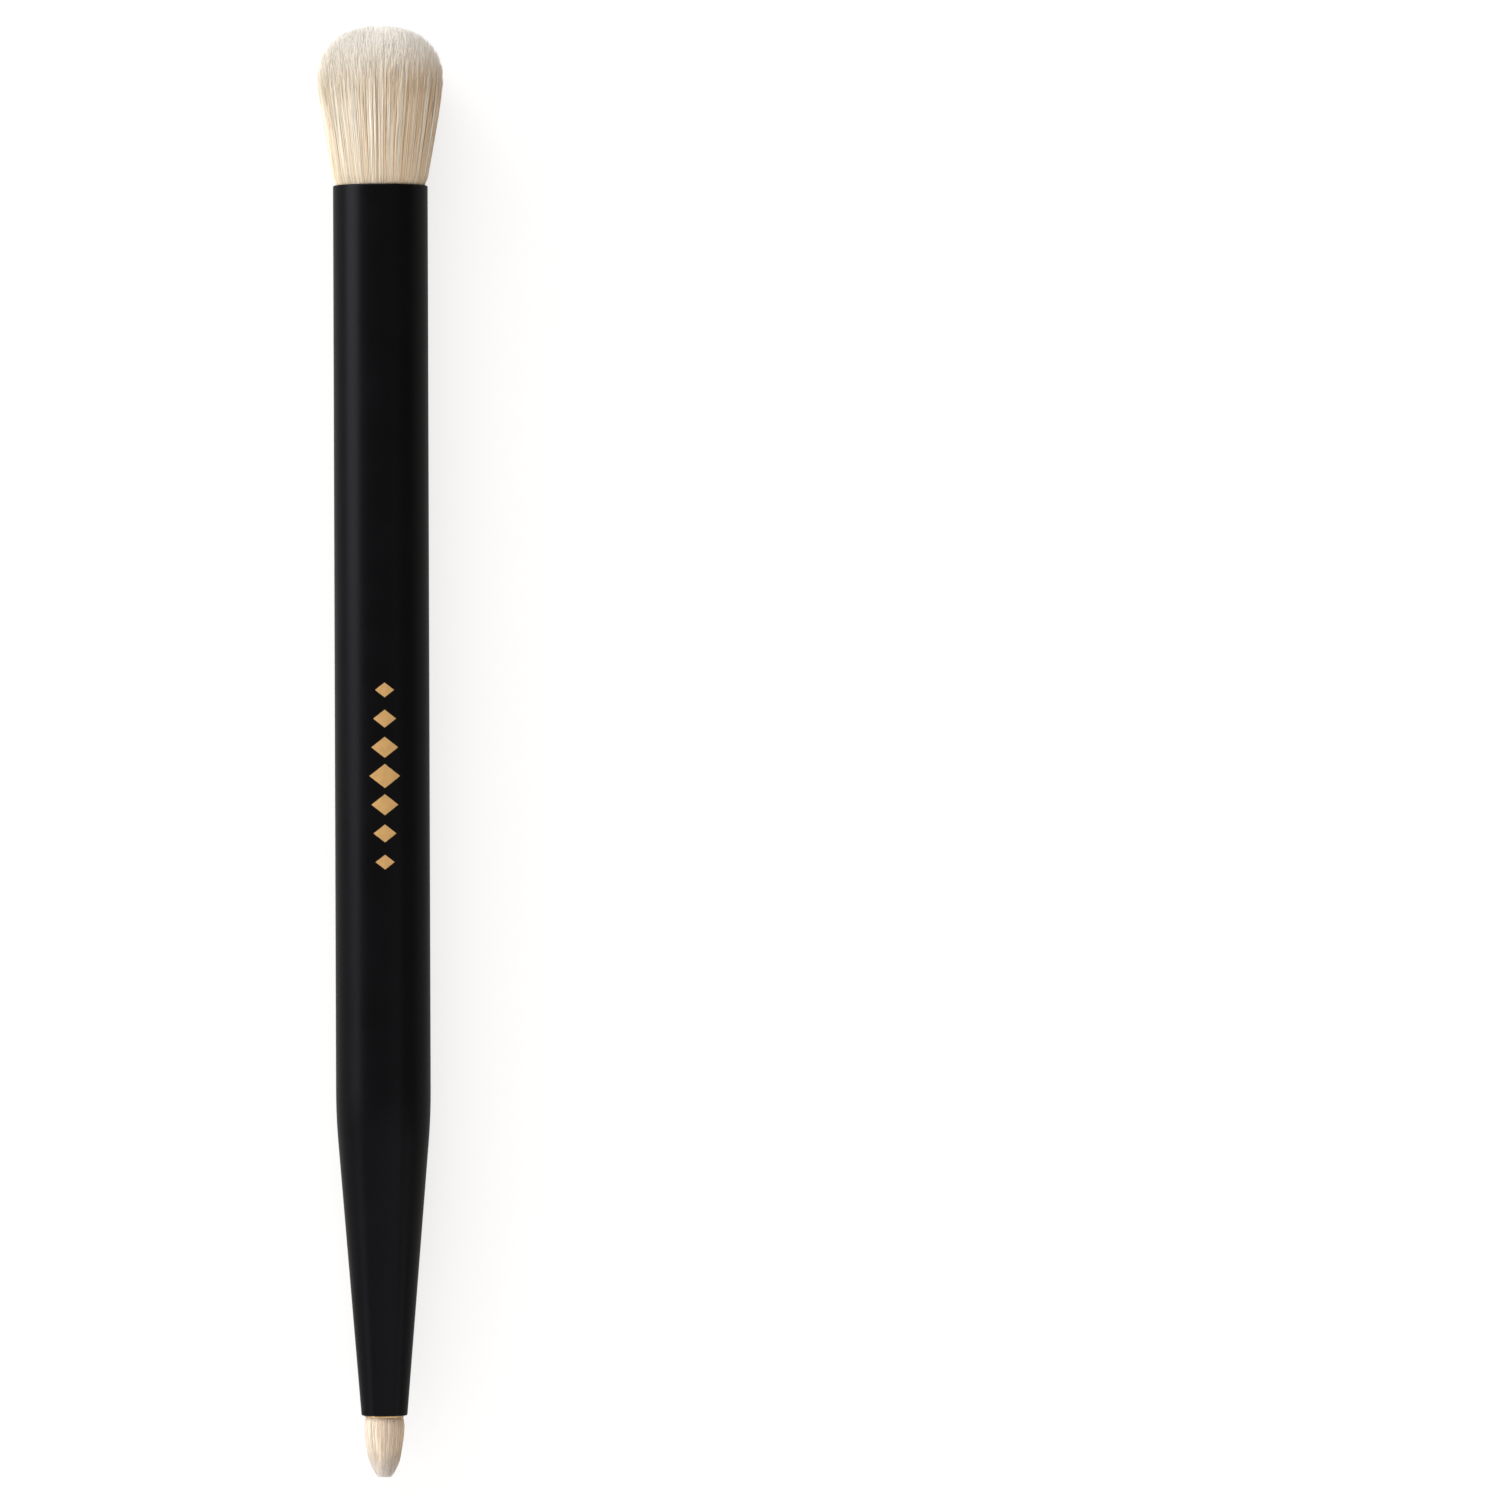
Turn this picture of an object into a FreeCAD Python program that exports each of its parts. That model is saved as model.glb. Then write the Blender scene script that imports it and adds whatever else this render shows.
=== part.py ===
import FreeCAD, Part
import os
import re
import Sketcher

# A double-ended brush, lying along Y with its large head at +Y, on a table at Z = 0. All lengths are in mm.
# Every piece is turned about the brush's axis, so each one is a profile of radius against height.
# Large-end pieces measure height from the large mouth, and small-end pieces from the small mouth.
# Both heights rise to +Y.

# Driving sizes
SIZES = {
    "handle_length": 127.2,          # mouth to mouth
    "handle_diameter": 9.8,
    "taper_length": 31.0,            # from the small mouth to where the taper would meet the straight barrel
    "taper_blend_radius": 65.0,
    "small_mouth_diameter": 4.75,
    "tube_wall": 0.3,
    "lip_chamfer": 0.15,
    "fit_gap": 0.03,                 # glue film between any two nested pieces
    "ferrule_wall": 0.15,
    "large_ferrule_setback": 1.5,    # the large ferrule ends this far inside its mouth
    "small_ferrule_reveal": 0.15,    # the small ferrule's bright lip shows by this much
    "large_root_length": 9.0,        # bristle hidden below the mouth
    "small_root_length": 5.0,
    "large_glue_depth": 2.5,
    "small_glue_depth": 2.0,
    "large_tenon_length": 5.0,       # the core's ends that the ferrules slide over
    "small_tenon_length": 4.0,
    "tenon_chamfer": 0.4,
    "thread_diameter": 0.3,
    "thread_turns": 5,
    "binding_lift": 1.0,             # from the bristles' root end to the first turn of thread
    "large_tuft_length": 16.3,
    "large_tuft_diameter": 12.5,
    "large_shoulder_radius": 2.0,
    "large_crown_radius": 6.8,
    "small_tuft_length": 6.4,
    "small_tuft_diameter": 4.1,
    "small_belly_height": 1.2,
    "small_tip_radius": 1.35,
}

# Values worked out from them, shared by the pieces that touch
DERIVED = {
    # The taper, as radius lost per length, and how much longer its slant is than its height
    "taper_slope": "(handle_diameter - small_mouth_diameter) / 2 / taper_length",
    "taper_stretch": "sqrt(1 + taper_slope ^ 2)",
    "blend_reach": "taper_blend_radius * (taper_stretch - 1) / taper_slope",
    "blend_start": "taper_length - handle_length + blend_reach",
    "blend_end_x": "handle_diameter / 2 - taper_blend_radius * (1 - 1 / taper_stretch)",
    "blend_end_y": "blend_start - taper_blend_radius * taper_slope / taper_stretch",
    # Radii of the nested layers in the straight barrel, from outside to inside
    "barrel_radius": "handle_diameter / 2",
    "bore_radius": "barrel_radius - tube_wall",
    "ferrule_outside": "bore_radius - fit_gap",
    "ferrule_inside": "ferrule_outside - ferrule_wall",
    "root_radius": "ferrule_inside - fit_gap",
    # The same layers at the small mouth, where the ferrule is a straight sleeve in the tapered bore
    "small_bore": "small_mouth_diameter / 2 - tube_wall * taper_stretch",
    "small_ferrule_outside": "small_bore - fit_gap",
    "small_ferrule_inside": "small_ferrule_outside - ferrule_wall",
    "small_root_radius": "small_ferrule_inside - fit_gap",
    # Depths below each mouth
    "large_tenon_top": "large_root_length + large_glue_depth",
    "large_ferrule_end": "large_tenon_top + large_tenon_length",
    "small_tenon_top": "small_root_length + small_glue_depth",
    "small_ferrule_end": "small_tenon_top + small_tenon_length",
    # The bands of thread, and the waists of the roots that they lie in
    "binding_width": "thread_diameter * thread_turns",
    "large_binding_foot": "binding_lift - large_root_length",
    "large_binding_top": "large_binding_foot + binding_width",
    "large_waist": "root_radius - thread_diameter - fit_gap",
    "small_binding_top": "small_root_length - binding_lift",
    "small_binding_foot": "small_binding_top - binding_width",
    "small_waist": "small_root_radius - thread_diameter - fit_gap",
    # The large head: a straight flare, a round shoulder and a flatter crown, each tangent to the next.
    # A shoulder takes up no more than half of the head, and a crown is never as round as the head is wide.
    "flare_foot": "bore_radius - fit_gap",
    "belly_radius": "large_tuft_diameter / 2",
    "shoulder": "min(large_shoulder_radius; belly_radius / 2)",
    "roundest_crown": "1.05 * belly_radius",
    "crown": "max(large_crown_radius; roundest_crown)",
    "shoulder_x": "belly_radius - shoulder",
    "crown_rise": "sqrt((crown - shoulder) ^ 2 - shoulder_x ^ 2)",
    "shoulder_y": "large_tuft_length - crown + crown_rise",
    "crown_join_x": "crown * shoulder_x / (crown - shoulder)",
    "crown_join_y": "large_tuft_length - crown + crown * crown_rise / (crown - shoulder)",
    "flare_x": "shoulder_x - flare_foot",
    "flare_reach": "sqrt(flare_x ^ 2 + shoulder_y ^ 2)",
    "flare_length": "sqrt(flare_reach ^ 2 - shoulder ^ 2)",
    "flare_share": "flare_length / flare_reach ^ 2",
    "flare_join_x": "flare_foot + flare_share * (flare_length * flare_x + shoulder * shoulder_y)",
    "flare_join_y": "flare_share * (flare_length * shoulder_y - shoulder * flare_x)",
    # The small head: sides on one long arc, tangent to a blunt round tip that is narrower than the sides
    "small_belly": "small_tuft_diameter / 2",
    "widest_tip": "0.8 * small_belly",
    "tip": "min(small_tip_radius; widest_tip)",
    "side_rise": "small_tuft_length - tip - small_belly_height",
    "side_curve": "(small_belly ^ 2 - tip ^ 2 + side_rise ^ 2) / (2 * (small_belly - tip))",
    "tip_share": "side_curve / (side_curve - tip)",
    "tip_join_x": "(small_belly - side_curve) * (1 - tip_share)",
    "tip_join_y": "-small_belly_height - tip_share * side_rise",
    # Where the pieces lie: the brush's box is centred on the origin and rests on the table
    "axis_height": "belly_radius",
    "large_mouth": "(handle_length + small_tuft_length - large_tuft_length) / 2",
    "small_mouth": "large_mouth - handle_length",
}

SAME_HEIGHT = 1e-6  # edges closer than this lie at one height

doc = FreeCAD.newDocument("brush")
sheet = doc.addObject("Spreadsheet::Sheet", "Sizes")
for row, (name, value) in enumerate(SIZES.items(), start=1):
    sheet.set(f"A{row}", str(value))
    sheet.setAlias(f"A{row}", name)
doc.recompute()


def spelled(formula):
    """The formula with each named value's owner in front of it."""

    def owned(match):
        word = match.group(0)
        owner = "Sizes." if word in SIZES else "Derived." if word in DERIVED else ""
        return owner + word

    return re.sub(r"[a-z_]+", owned, formula)


derived = doc.addObject("App::VarSet", "Derived")
for name, formula in DERIVED.items():
    derived.addProperty("App::PropertyFloat", name, "Derived")
    derived.setExpression(name, spelled(formula))
doc.recompute()


def worth(formula):
    """The number that a formula comes to."""
    return float(sheet.evalExpression(spelled(formula)))


def arc(curve, side):
    """A run on an arc of this radius, that swells to the left (1) or the right (-1) of its path."""
    return curve, side


def drawn_run(start, end, bend):
    """The line or arc from one corner to the next."""
    if bend is None:
        return Part.LineSegment(start, end)
    curve, side = bend
    chord = end - start
    left = FreeCAD.Vector(-chord.y, chord.x, 0).normalize()
    radius = worth(curve)
    swell = radius - (radius ** 2 - chord.Length ** 2 / 4) ** 0.5
    return Part.Arc(start, (start + end) / 2 + left * side * swell, end)


def place_point(sketch, run, end, axis, formula):
    """Ties one coordinate of a run's end to a formula. On an axis, the point is held to that axis."""
    across = axis == "X"
    if formula == "0":
        sketch.addConstraint(Sketcher.Constraint("PointOnObject", run, end, -2 if across else -1))
        return
    index = sketch.addConstraint(
        Sketcher.Constraint("Distance" + axis, -1, 1, run, end, worth(formula)))
    sketch.renameConstraint(index, ("radius_" if across else "height_") + str(run))
    sketch.setExpression(f"Constraints[{index}]", spelled(formula))


def turned(name, mouth, corners):
    """A body turned about the axis, with its own zero at one mouth, from a closed profile.

    A corner is (radius, height), or (radius, height, arc to the next corner).
    """
    body = doc.addObject("PartDesign::Body", name)
    body.Label = name
    body.setExpression("Placement.Base.y", spelled(mouth))
    body.setExpression("Placement.Base.z", spelled("axis_height"))
    sketch = body.newObject("Sketcher::SketchObject", "Profile")
    plane = next(feature for feature in body.Origin.OriginFeatures if feature.Role == "XY_Plane")
    sketch.AttachmentSupport = (plane, [""])
    sketch.MapMode = "FlatFace"
    points = [FreeCAD.Vector(worth(corner[0]), worth(corner[1]), 0) for corner in corners]
    after = [*range(1, len(corners)), 0]
    ends = []
    for number, corner in enumerate(corners):
        bend = corner[2] if len(corner) > 2 else None
        run = sketch.addGeometry(drawn_run(points[number], points[after[number]], bend))
        # An arc runs anticlockwise, so one that swells to the left has its ends exchanged
        ends.append((2, 1) if bend and bend[1] > 0 else (1, 2))
        if bend:
            index = sketch.addConstraint(Sketcher.Constraint("Radius", run, worth(bend[0])))
            sketch.setExpression(f"Constraints[{index}]", spelled(bend[0]))
    for number, corner in enumerate(corners):
        start, end = ends[number]
        sketch.addConstraint(
            Sketcher.Constraint("Coincident", number, end, after[number], ends[after[number]][0]))
        place_point(sketch, number, start, "X", corner[0])
        place_point(sketch, number, start, "Y", corner[1])
    turn = body.newObject("PartDesign::Revolution", "Turned")
    turn.Profile = sketch
    turn.ReferenceAxis = (sketch, ["V_Axis"])
    turn.Angle = 360
    sketch.Visibility = False
    doc.recompute()
    return body


def ring(name, mouth, inside, outside, foot, top):
    """A plain sleeve, or a disc where its inside is 0."""
    return turned(name, mouth, [(inside, foot), (outside, foot), (outside, top), (inside, top)])


def outer_rim(body, height):
    """The name of the widest edge of a body's last feature at a height."""
    level = worth(height)
    found = {}
    for number, edge in enumerate(body.Tip.Shape.Edges, start=1):
        box = edge.BoundBox
        if max(abs(box.YMin - level), abs(box.YMax - level)) < SAME_HEIGHT:
            found[edge.Curve.Radius] = f"Edge{number}"
    return found[max(found)]


def chamfer(body, heights, formula):
    """Breaks the outer rims at these heights."""
    base = body.Tip
    edges = [outer_rim(body, height) for height in heights]
    feature = body.newObject("PartDesign::Chamfer", "Chamfer")
    feature.Base = (base, edges)
    feature.setExpression("Size", spelled(formula))
    doc.recompute()


def taper_radius(depth, height):
    """The radius this deep below the taper's skin, at a height above the small mouth."""
    return f"small_mouth_diameter / 2 + taper_slope * ({height}) - ({depth}) * taper_stretch"


def taper_start(depth):
    """Where the straight barrel meets the taper, this deep below their skin."""
    return f"taper_length - handle_length + ({depth}) * (taper_stretch - 1) / taper_slope"


# Handle
tube = turned("handle_tube", "large_mouth", [
    ("bore_radius", "0"),
    ("barrel_radius", "0"),
    ("barrel_radius", "blend_start", arc("taper_blend_radius", 1)),
    ("blend_end_x", "blend_end_y"),
    ("small_mouth_diameter / 2", "-handle_length"),
    ("small_bore", "-handle_length"),
    ("bore_radius", taper_start("tube_wall")),
])
chamfer(tube, ["0", "-handle_length"], "min(lip_chamfer; tube_wall / 2)")

core_depth = "tube_wall + fit_gap"
core = turned("handle_core", "large_mouth", [
    ("0", "-large_tenon_top"),
    ("root_radius", "-large_tenon_top"),
    ("root_radius", "-large_ferrule_end"),
    ("ferrule_outside", "-large_ferrule_end"),
    ("ferrule_outside", taper_start(core_depth)),
    (taper_radius(core_depth, "small_ferrule_end"), "small_ferrule_end - handle_length"),
    ("small_root_radius", "small_ferrule_end - handle_length"),
    ("small_root_radius", "small_tenon_top - handle_length"),
    ("0", "small_tenon_top - handle_length"),
])
chamfer(core, ["-large_tenon_top", "small_tenon_top - handle_length"], "tenon_chamfer")

# Large head
ring("large_ferrule", "large_mouth", "ferrule_inside", "ferrule_outside",
     "-large_ferrule_end", "-large_ferrule_setback")
ring("large_glue_plug", "large_mouth", "0", "ferrule_inside", "-large_tenon_top", "-large_root_length")
ring("large_binding", "large_mouth", "root_radius - thread_diameter", "root_radius",
     "large_binding_foot", "large_binding_top")
turned("large_tuft", "large_mouth", [
    ("0", "-large_root_length"),
    ("root_radius", "-large_root_length"),
    ("root_radius", "large_binding_foot - fit_gap - thread_diameter"),
    ("large_waist", "large_binding_foot - fit_gap"),
    ("large_waist", "large_binding_top + fit_gap"),
    ("root_radius", "large_binding_top + fit_gap + thread_diameter"),
    ("root_radius", "-large_ferrule_setback"),
    ("flare_foot", "0"),
    ("flare_join_x", "flare_join_y", arc("shoulder", -1)),
    ("crown_join_x", "crown_join_y", arc("crown", -1)),
    ("0", "large_tuft_length"),
])

# Small head
small_ferrule = ring("small_ferrule", "small_mouth", "small_ferrule_inside", "small_ferrule_outside",
                     "-small_ferrule_reveal", "small_ferrule_end")
chamfer(small_ferrule, ["-small_ferrule_reveal"], "ferrule_wall / 3")
ring("small_glue_plug", "small_mouth", "0", "small_ferrule_inside", "small_root_length", "small_tenon_top")
ring("small_binding", "small_mouth", "small_root_radius - thread_diameter", "small_root_radius",
     "small_binding_foot", "small_binding_top")
turned("small_tuft", "small_mouth", [
    ("0", "small_root_length"),
    ("small_root_radius", "small_root_length"),
    ("small_root_radius", "small_binding_top + fit_gap + thread_diameter"),
    ("small_waist", "small_binding_top + fit_gap"),
    ("small_waist", "small_binding_foot - fit_gap"),
    ("small_root_radius", "small_binding_foot - fit_gap - thread_diameter"),
    ("small_root_radius", "-small_ferrule_reveal"),
    ("small_belly", "-small_belly_height", arc("side_curve", 1)),
    ("tip_join_x", "tip_join_y", arc("tip", 1)),
    ("0", "-small_tuft_length"),
])

doc.recompute()
for thing in doc.Objects:
    if "Invalid" in thing.State or "Error" in thing.State:
        raise RuntimeError(f"{thing.Label} did not come out: {thing.State}")

os.makedirs("parts", exist_ok=True)
for body in doc.findObjects("PartDesign::Body"):
    if body.Shape.isNull() or not body.Shape.isValid():
        raise RuntimeError(f"{body.Label} is not a sound solid")
    body.Shape.exportStep(f"parts/{body.Label}.step")
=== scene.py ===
"""Dresses a packed double-ended brush: lacquered tube, bristles, brass, thread and a plain studio."""

import math
from collections import namedtuple

import bmesh
import bpy
from bpy.props import FloatProperty, FloatVectorProperty, IntProperty, PointerProperty
from mathutils import Matrix, Vector


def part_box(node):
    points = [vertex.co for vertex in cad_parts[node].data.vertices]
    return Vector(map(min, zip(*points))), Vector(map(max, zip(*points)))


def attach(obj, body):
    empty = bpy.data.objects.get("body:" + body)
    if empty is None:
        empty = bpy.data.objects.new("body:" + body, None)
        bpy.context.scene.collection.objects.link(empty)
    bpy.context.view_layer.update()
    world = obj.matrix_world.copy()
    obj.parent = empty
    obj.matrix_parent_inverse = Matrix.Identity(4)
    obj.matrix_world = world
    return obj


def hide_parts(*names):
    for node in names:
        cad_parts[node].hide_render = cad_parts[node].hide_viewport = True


bl_info = {
    "name": "Double-ended eyeshadow brush",
    "version": (1, 0, 0),
    "blender": (4, 5, 0),
    "location": "View3D > Sidebar > Brush",
    "description": "Builds the brush's lacquered tube, bristles, brass and thread on its fixed frame",
    "category": "Object",
}

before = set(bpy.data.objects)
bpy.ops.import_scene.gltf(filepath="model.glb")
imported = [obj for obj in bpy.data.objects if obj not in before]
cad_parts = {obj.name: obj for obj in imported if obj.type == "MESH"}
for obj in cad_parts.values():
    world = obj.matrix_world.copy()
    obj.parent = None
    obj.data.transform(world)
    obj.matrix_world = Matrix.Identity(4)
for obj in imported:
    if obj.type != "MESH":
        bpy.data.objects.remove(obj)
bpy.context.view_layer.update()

MM = 0.001

# The frame's own places: the brush lies along Y, with its large mouth at the tube's far end
TUBE_LOW, TUBE_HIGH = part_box("handle_tube")
LARGE_LOW, LARGE_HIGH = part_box("large_tuft")
SMALL_LOW, SMALL_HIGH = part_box("small_tuft")
AXIS_HEIGHT = (TUBE_LOW.z + TUBE_HIGH.z) / 2
BARREL_RADIUS = (TUBE_HIGH.x - TUBE_LOW.x) / 2
LARGE_MOUTH = TUBE_HIGH.y
SMALL_MOUTH = TUBE_LOW.y

# A tuft's node, its mouth along Y, the way it points, its free height, its root's depth and its seed
TuftPlace = namedtuple("TuftPlace", "node mouth towards top depth seed")
CROWN_HAZE = 0.3 * MM  # how far the few longest bristles stand above the large dome
SPRING_REACH = 0.8 * MM  # the height over which a bundle springs out of its mouth
LARGE_PLACE = TuftPlace(
    node="large_tuft", mouth=LARGE_MOUTH, towards=1, top=LARGE_HIGH.y - LARGE_MOUTH + CROWN_HAZE,
    depth=LARGE_MOUTH - LARGE_LOW.y, seed=11)
SMALL_PLACE = TuftPlace(
    node="small_tuft", mouth=SMALL_MOUTH, towards=-1, top=SMALL_MOUTH - SMALL_LOW.y,
    depth=SMALL_HIGH.y - SMALL_MOUTH, seed=71)


# Settings that a user would change

def length(name, description, millimetres):
    """A length property, given in millimetres."""
    return FloatProperty(
        name=name, description=description, default=millimetres * MM, unit="LENGTH", precision=5)


def share(name, description, default):
    """A property from 0 to 1."""
    return FloatProperty(
        name=name, description=description, default=default, min=0, max=1, subtype="FACTOR")


def number(name, description, default):
    """A plain number property."""
    return FloatProperty(name=name, description=description, default=default)


def whole(name, description, default, least):
    """A whole number property."""
    return IntProperty(name=name, description=description, default=default, min=least)


def angle(name, description, degrees):
    """An angle property, given in degrees."""
    return FloatProperty(
        name=name, description=description, default=math.radians(degrees), subtype="ANGLE")


def colour(name, description, default):
    """A colour property."""
    return FloatVectorProperty(
        name=name, description=description, default=default, min=0, max=1, size=3, subtype="COLOR")


class HandleSettings(bpy.types.PropertyGroup):
    """The lacquered tube and the sleeves in its mouths."""

    taper_length: length("Taper", "From the small mouth to where the taper meets the straight barrel", 31)
    blend_radius: length("Blend", "Radius of the bend between the barrel and the taper", 65)
    small_mouth_radius: length("Small mouth", "Radius of the tube at its small end", 2.375)
    wall: length("Wall", "Thickness of the tube", 0.3)
    lip_radius: length("Lip", "Rounding of the tube's outer edges", 0.14)
    ferrule_wall: length("Ferrule wall", "Thickness of the brass sleeves", 0.15)
    ferrule_lip: length("Ferrule lip", "Rounding of the sleeves' edges", 0.05)
    lacquer: colour("Lacquer", "Colour of the satin lacquer", (0.0016, 0.0016, 0.0021))
    roughness: share("Roughness", "Roughness of the satin lacquer", 0.32)
    gloss: colour("Gloss", "Tint of the lacquer's reflections", (0.84, 0.87, 1.0))
    brass: colour("Brass", "Colour of the ferrules", (0.86, 0.58, 0.28))


class OrnamentSettings(bpy.types.PropertyGroup):
    """A row of foil lozenges along the barrel."""

    count: whole("Lozenges", "How many lozenges the row has", 7, least=1)
    row_length: length("Row", "Length of the row", 20.7)
    width: length("Width", "Width of the middle lozenge, across the barrel", 3.2)
    centre: length("Centre", "Place of the row's middle along the brush", -2.4)
    turn_aside: angle("Turn", "How far the row lies to the right of the barrel's top", 5)
    lift: length("Lift", "Height of the foil above the lacquer", 0.012)
    foil: colour("Foil", "Colour of the foil", (0.62, 0.38, 0.15))


class BristleSettings:
    """What both tufts have."""

    strand_diameter: length("Strand", "Thickness of a bristle at its root", 0.08)
    stray_share: share("Strays", "Share of the bristles that stand out", 0.03)


class LargeTuftSettings(bpy.types.PropertyGroup, BristleSettings):
    """The domed blending tuft."""

    root: colour("Root", "Colour of a bristle at the mouth", (0.88, 0.78, 0.62))
    body: colour("Body", "Colour of a bristle along its length", (0.98, 0.91, 0.78))
    # The streak colour is also the painted shade on the tuft's right side
    streak: colour("Streak", "Colour of the darker bristles", (0.82, 0.61, 0.39))
    tip: colour("Tip", "Colour of a bristle at its tip", (0.99, 0.965, 0.92))
    clump_size: length("Clump", "Width of a clump of bristles", 0.27)
    clump_pull: share("Clump pull", "How far a clump's bristles draw together", 0.17)
    clump_lean: length("Clump lean", "How far a clump's tip leans aside", 0.2)
    wave: length("Wave", "How far a single bristle strays from its line", 0.3)
    strands: whole("Strands", "How many bristles the tuft has", 20000, least=3)
    layers: whole("Layers", "How many pieces the tuft is made in", 5, least=1)
    mouth_radius: length("Mouth", "Radius of the bundle at the mouth", 4.55)
    waist_radius: length("Waist", "Radius of the bundle where it is bound", 4.0)
    spring: length("Spring", "How far the bundle springs out as it leaves the mouth", 0.2)
    flare: number("Flare", "Radius that the bundle gains per length", 0.17)
    tuck: length("Tuck", "How far the bundle's outside is drawn in at the top", 0.5)
    tuck_power: number("Tuck power", "How late the tuck sets in", 4)
    crown_radius: length("Crown", "Radius of the dome's foot", 6.2)
    crown_height: length("Crown height", "Height of the dome above its foot", 6.9)
    crown_power: number("Crown power", "2 is a round dome, more is a blunter one", 2.4)
    crown_cut: share("Crown cut", "Share of the dome below its flat end", 1.0)
    spread: length("Spread", "How much the bristles' lengths differ", 1.2)


class SmallTuftSettings(bpy.types.PropertyGroup, BristleSettings):
    """The blunt pencil tuft."""

    root: colour("Root", "Colour of a bristle at the mouth", (0.84, 0.72, 0.58))
    body: colour("Body", "Colour of a bristle along its length", (0.88, 0.77, 0.64))
    # The streak colour is also the painted shade on the tuft's right side
    streak: colour("Streak", "Colour of the darker bristles", (0.80, 0.65, 0.50))
    tip: colour("Tip", "Colour of a bristle at its tip", (0.99, 0.92, 0.86))
    clump_size: length("Clump", "Width of a clump of bristles", 0.25)
    clump_pull: share("Clump pull", "How far a clump's bristles draw together", 0.15)
    clump_lean: length("Clump lean", "How far a clump's tip leans aside", 0.1)
    wave: length("Wave", "How far a single bristle strays from its line", 0.14)
    strands: whole("Strands", "How many bristles the tuft has", 3200, least=3)
    layers: whole("Layers", "How many pieces the tuft is made in", 1, least=1)
    mouth_radius: length("Mouth", "Radius of the bundle at the mouth", 1.84)
    waist_radius: length("Waist", "Radius of the bundle where it is bound", 1.5)
    spring: length("Spring", "How far the bundle springs out as it leaves the mouth", 0.14)
    flare: number("Flare", "Radius that the bundle gains per length", 0.2)
    tuck: length("Tuck", "How far the bundle's outside is drawn in at the top", 2.07)
    tuck_power: number("Tuck power", "How late the tuck sets in", 1.42)
    crown_radius: length("Crown", "Radius of the dome's foot", 1.6)
    crown_height: length("Crown height", "Height of the dome above its foot", 2.2)
    crown_power: number("Crown power", "2 is a round dome, more is a blunter one", 2.0)
    crown_cut: share("Crown cut", "Share of the dome below its flat end", 0.82)
    spread: length("Spread", "How much the bristles' lengths differ", 0.25)


class InnerSettings(bpy.types.PropertyGroup):
    """What is sealed in the handle: the thread, the dowel and the glue."""

    turns: number("Turns", "Turns of thread in a binding", 4)
    thread: length("Thread", "Thickness of the thread", 0.3)
    # The colour between the plies is painted shade in the grooves
    thread_painted_shade: colour("Thread shade", "Colour of the thread between its plies", (0.55, 0.51, 0.43))
    thread_light: colour("Thread light", "Colour of the thread's plies", (0.88, 0.85, 0.78))
    wood_shade: colour("Wood shade", "Colour of the wood between its fibres", (0.42, 0.27, 0.14))
    wood_light: colour("Wood light", "Colour of the wood's fibres", (0.70, 0.52, 0.33))
    resin_shade: colour("Resin shade", "Colour of the glue where it is clear", (0.50, 0.33, 0.12))
    resin_light: colour("Resin light", "Colour of the glue where it is cloudy", (0.80, 0.66, 0.42))


class StageSettings(bpy.types.PropertyGroup):
    """Camera, floor and lamps."""

    distance: length("Distance", "Camera above the brush", 1100)
    view_width: length("View width", "Width of the picture at the brush", 155.2)
    view_right: length("View right", "Picture's middle, to the right of the brush", 38.05)
    view_up: length("View up", "Picture's middle, along the brush", 0.15)
    roll: angle("Roll", "Turn of the camera about its own line of sight", -0.195)
    floor: colour("Floor", "Colour of the floor", (0.3, 0.3, 0.3))
    side_light: number("Side light", "Brightness of the large light at the left", 4.4)
    head_light: number("Head light", "Brightness of the light past the large end", 3.7)
    foot_light: number("Foot light", "Brightness of the light past the small end", 0.9)
    left_card: number("Left card", "Brightness of the card low at the left", 3.2)
    right_card: number("Right card", "Brightness of the card low at the right", 1.8)
    room: colour("Room", "Colour of the room round the lamps", (1.0, 0.80, 0.58))
    room_level: number("Room level", "Brightness of the room", 0.23)


# Node trees written as formulas

class Field:
    """One value of a node tree. Arithmetic on it adds math nodes."""

    def __init__(self, tree, socket):
        self.tree = tree
        self.socket = socket

    def beside(self, output):
        """Another output of the same node."""
        return Field(self.tree, self.socket.node.outputs[output])

    def __add__(self, other):
        return self.tree.math("ADD", self, other)

    def __sub__(self, other):
        return self.tree.math("SUBTRACT", self, other)

    def __mul__(self, other):
        return self.tree.math("MULTIPLY", self, other)

    def __truediv__(self, other):
        return self.tree.math("DIVIDE", self, other)

    def __radd__(self, other):
        return self.tree.math("ADD", other, self)

    def __rsub__(self, other):
        return self.tree.math("SUBTRACT", other, self)

    def __rmul__(self, other):
        return self.tree.math("MULTIPLY", other, self)

    def __rtruediv__(self, other):
        return self.tree.math("DIVIDE", other, self)


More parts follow.
